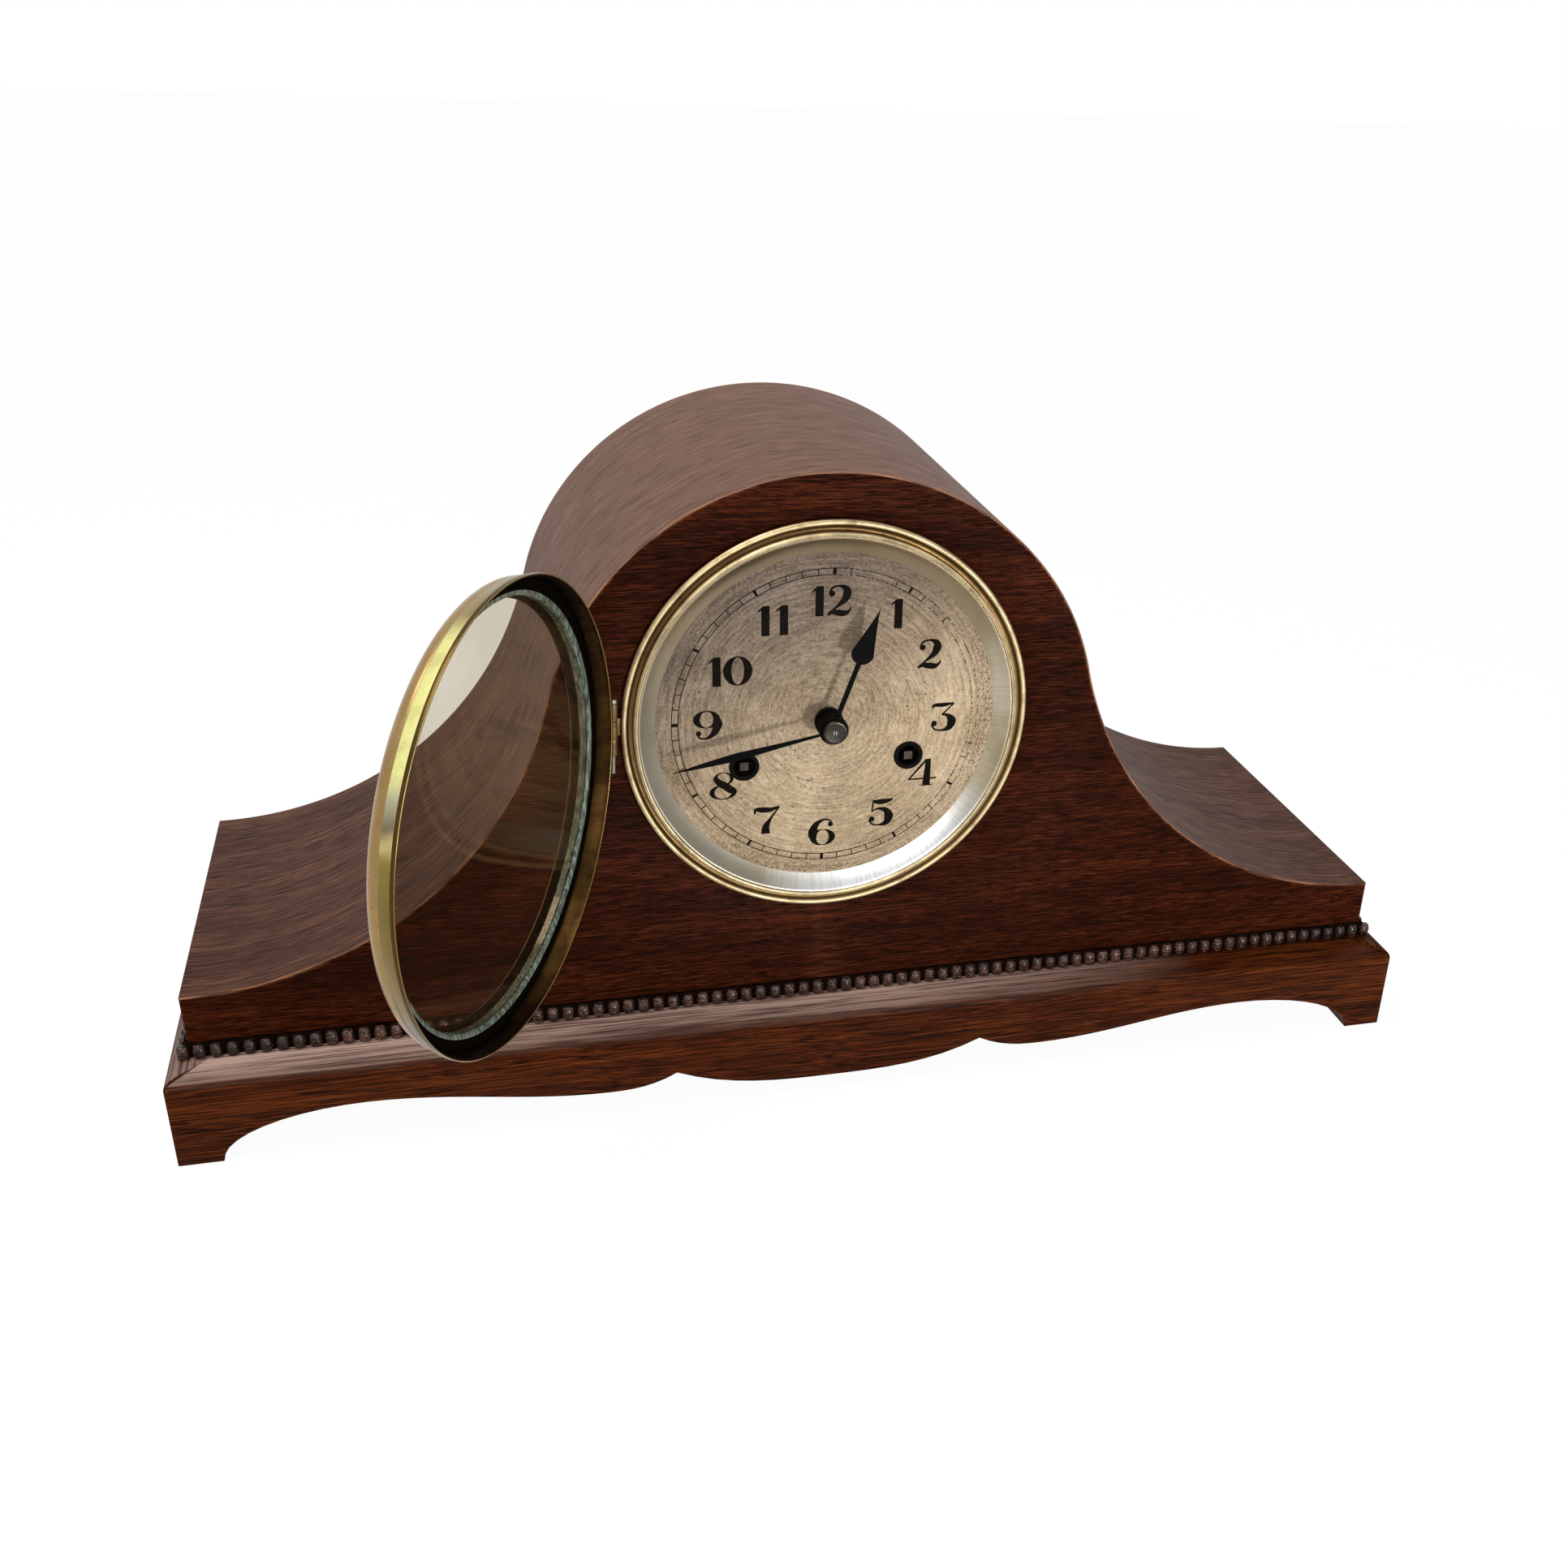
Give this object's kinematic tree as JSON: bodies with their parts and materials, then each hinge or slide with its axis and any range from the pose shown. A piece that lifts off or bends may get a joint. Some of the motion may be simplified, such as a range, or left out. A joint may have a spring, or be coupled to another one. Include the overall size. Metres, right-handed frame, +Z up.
{
  "type": "napoleon_hat_clock",
  "caption": "Napoleon hat mantel clock in dark wood with an arched case, open brass glazed door, silvered dial, hands, movement, pendulum, gong and back door.",
  "frame": {"origin": "on the table, under the middle of the whole clock with its glazed door open as in the picture", "axes": "+X to the right seen from the front, +Y to the back, +Z up; the dial faces -Y"},
  "size_m": [0.46, 0.2733, 0.23],
  "materials": {
    "mahogany_front": "satin",
    "back_wood": "satin",
    "top_veneer": "satin",
    "plinth_wood": "satin",
    "raw_wood": "matte",
    "bead_wood": "satin",
    "aged_brass": "satin",
    "silvered_ring": "satin",
    "silvered_dial": "satin",
    "black_enamel": "satin",
    "steel": "satin",
    "door_brass": "polished",
    "clear_glass": "clear",
    "movement_brass": "satin",
    "gong_iron": "matte"
  },
  "bodies": {
    "case": {"front_panel": "mahogany_front", "back_panel": "back_wood", "top_skin": "top_veneer", "end_boards": "mahogany_front", "base_board": "raw_wood", "plinth_front_rail": "plinth_wood", "plinth_side_rails": "plinth_wood", "plinth_back_rail": "plinth_wood", "glue_blocks": "raw_wood", "bead_front": "bead_wood", "bead_sides": "bead_wood", "bezel_flange": "aged_brass", "reflector_ring": "silvered_ring", "dial_plate": "silvered_dial", "winding_grommets": "black_enamel", "hinge_case_leaf": "aged_brass", "hinge_pin": "steel", "movement_front_plate": "movement_brass", "movement_back_plate": "movement_brass", "pillars": "movement_brass", "pillar_nuts": "steel", "movement_straps": "movement_brass", "strap_screws": "steel", "back_cock": "movement_brass", "gong_block": "gong_iron", "gong_rods": "movement_brass", "back_door_hinges": "aged_brass"},
    "glazed_door": {"hinge_door_leaf": "aged_brass", "door_ring": "door_brass", "door_glass": "clear_glass", "glass_bedding": "black_enamel"},
    "centre": {"minute_hand": "black_enamel", "hand_nut": "steel", "cannon_pinion": "steel", "centre_arbor": "movement_brass"},
    "hour": {"hour_hand": "black_enamel", "hour_wheel": "movement_brass"},
    "motion": {"minute_wheel": "movement_brass"},
    "second": {"second_wheel": "movement_brass"},
    "third": {"third_wheel": "movement_brass"},
    "fourth": {"fourth_wheel": "movement_brass"},
    "escape": {"escape_wheel": "movement_brass"},
    "anchor_body": {"anchor": "steel"},
    "pendulum": {"pendulum_rod": "steel", "pendulum_bob": "movement_brass"},
    "rating": {"rating_nut": "movement_brass"},
    "going_drum": {"going_barrel": "movement_brass"},
    "strike_drum": {"strike_barrel": "movement_brass"},
    "going_winder": {"going_arbor": "steel"},
    "strike_winder": {"strike_arbor": "steel"},
    "going_pawl": {"going_click": "steel"},
    "strike_pawl": {"strike_click": "steel"},
    "strike_second": {"strike_second_wheel": "movement_brass"},
    "strike_pins": {"strike_pin_wheel": "movement_brass"},
    "strike_fourth": {"strike_fourth_wheel": "movement_brass"},
    "warning": {"warning_wheel": "movement_brass"},
    "fly_body": {"fly": "movement_brass"},
    "hammer_body": {"hammer": "steel"},
    "back_door_body": {"back_door": "back_wood"},
    "button": {"turn_button": "aged_brass"}
  },
  "joints": [
    {"name": "glazed_door_hinge", "type": "hinge", "parent": "case", "child": "glazed_door", "pos_m": [-0.07394, -0.007, 0.1466], "axis": [-0.0419, 0, -0.9991], "range_deg": [-118, 8.5]},
    {"name": "minute_hand_turn", "type": "hinge", "parent": "case", "child": "centre", "pos_m": [0, -0.004, 0.1435], "axis": [0, 1, 0], "continuous": true},
    {"name": "hour_hand_turn", "type": "hinge", "parent": "case", "child": "hour", "pos_m": [0, -0.004, 0.1435], "axis": [0, 1, 0], "continuous": true},
    {"name": "minute_wheel_turn", "type": "hinge", "parent": "case", "child": "motion", "pos_m": [0, 0.008, 0.1315], "axis": [0, 1, 0], "continuous": true},
    {"name": "second_wheel_turn", "type": "hinge", "parent": "case", "child": "second", "pos_m": [0.01496, 0.021, 0.15351], "axis": [0, 1, 0], "continuous": true},
    {"name": "third_wheel_turn", "type": "hinge", "parent": "case", "child": "third", "pos_m": [-0.00313, 0.024, 0.16123], "axis": [0, 1, 0], "continuous": true},
    {"name": "fourth_wheel_turn", "type": "hinge", "parent": "case", "child": "fourth", "pos_m": [0.00875, 0.03, 0.17311], "axis": [0, 1, 0], "continuous": true},
    {"name": "escape_wheel_turn", "type": "hinge", "parent": "case", "child": "escape", "pos_m": [0, 0.036, 0.18454], "axis": [0, 1, 0], "continuous": true},
    {"name": "going_barrel_turn", "type": "hinge", "parent": "case", "child": "going_drum", "pos_m": [0.0294, 0.036, 0.1279], "axis": [0, 1, 0], "continuous": true},
    {"name": "pendulum_swing", "type": "hinge", "parent": "case", "child": "pendulum", "pos_m": [0, 0.067, 0.19574], "axis": [0, 1, 0], "range_deg": [-3, 3]},
    {"name": "anchor_rock", "type": "hinge", "parent": "case", "child": "anchor_body", "pos_m": [0, 0.046, 0.19574], "axis": [0, 1, 0], "range_deg": [-3, 3]},
    {"name": "rating_nut_turn", "type": "hinge", "parent": "pendulum", "child": "rating", "pos_m": [0, 0.067, 0.06454], "axis": [0, 0, 1], "continuous": true},
    {"name": "going_winding", "type": "hinge", "parent": "case", "child": "going_winder", "pos_m": [0.0294, 0.006, 0.1279], "axis": [0, 1, 0], "continuous": true},
    {"name": "strike_winding", "type": "hinge", "parent": "case", "child": "strike_winder", "pos_m": [-0.0294, 0.006, 0.1279], "axis": [0, 1, 0], "continuous": true},
    {"name": "going_click_lift", "type": "hinge", "parent": "case", "child": "going_pawl", "pos_m": [0.0384, 0.01, 0.1179], "axis": [0, 1, 0], "range_deg": [-12, 0]},
    {"name": "strike_click_lift", "type": "hinge", "parent": "case", "child": "strike_pawl", "pos_m": [-0.0384, 0.01, 0.1179], "axis": [0, 1, 0], "range_deg": [0, 12]},
    {"name": "pin_wheel_turn", "type": "hinge", "parent": "case", "child": "strike_pins", "pos_m": [-0.02387, 0.021, 0.16453], "axis": [0, 1, 0], "continuous": true},
    {"name": "strike_barrel_turn", "type": "hinge", "parent": "case", "child": "strike_drum", "pos_m": [-0.0294, 0.036, 0.1279], "axis": [0, 1, 0], "continuous": true},
    {"name": "strike_second_turn", "type": "hinge", "parent": "case", "child": "strike_second", "pos_m": [-0.03946, 0.021, 0.15553], "axis": [0, 1, 0], "continuous": true},
    {"name": "strike_fourth_turn", "type": "hinge", "parent": "case", "child": "strike_fourth", "pos_m": [-0.01626, 0.026, 0.17883], "axis": [0, 1, 0], "continuous": true},
    {"name": "warning_wheel_turn", "type": "hinge", "parent": "case", "child": "warning", "pos_m": [-0.02874, 0.032, 0.18058], "axis": [0, 1, 0], "continuous": true},
    {"name": "fly_turn", "type": "hinge", "parent": "case", "child": "fly_body", "pos_m": [-0.03399, 0.041, 0.18968], "axis": [0, 1, 0], "continuous": true},
    {"name": "hammer_swing", "type": "hinge", "parent": "case", "child": "hammer_body", "pos_m": [-0.04465, 0.056, 0.17653], "axis": [0, 1, 0], "range_deg": [0, 12]},
    {"name": "back_door_hinge", "type": "hinge", "parent": "case", "child": "back_door_body", "pos_m": [0.0802, 0.1356, 0.1], "axis": [0, 0, -1], "range_deg": [0, 165]},
    {"name": "turn_button_turn", "type": "hinge", "parent": "case", "child": "button", "pos_m": [-0.089, 0.134, 0.097], "axis": [0, 1, 0], "range_deg": [0, 90]}
  ],
  "couplings": [
    {"joint": "hour_hand_turn", "follows": "minute_hand_turn", "ratio": 0.083333},
    {"joint": "minute_wheel_turn", "follows": "minute_hand_turn", "ratio": -0.33333},
    {"joint": "second_wheel_turn", "follows": "minute_hand_turn", "ratio": -0.25},
    {"joint": "third_wheel_turn", "follows": "minute_hand_turn", "ratio": -5},
    {"joint": "fourth_wheel_turn", "follows": "minute_hand_turn", "ratio": 30},
    {"joint": "escape_wheel_turn", "follows": "minute_hand_turn", "ratio": -150},
    {"joint": "going_barrel_turn", "follows": "minute_hand_turn", "ratio": 0.041667},
    {"joint": "anchor_rock", "follows": "pendulum_swing", "ratio": 1},
    {"joint": "strike_barrel_turn", "follows": "pin_wheel_turn", "ratio": 0.033333},
    {"joint": "strike_second_turn", "follows": "pin_wheel_turn", "ratio": -0.2},
    {"joint": "strike_fourth_turn", "follows": "pin_wheel_turn", "ratio": -5},
    {"joint": "warning_wheel_turn", "follows": "pin_wheel_turn", "ratio": 25},
    {"joint": "fly_turn", "follows": "pin_wheel_turn", "ratio": -100}
  ]
}
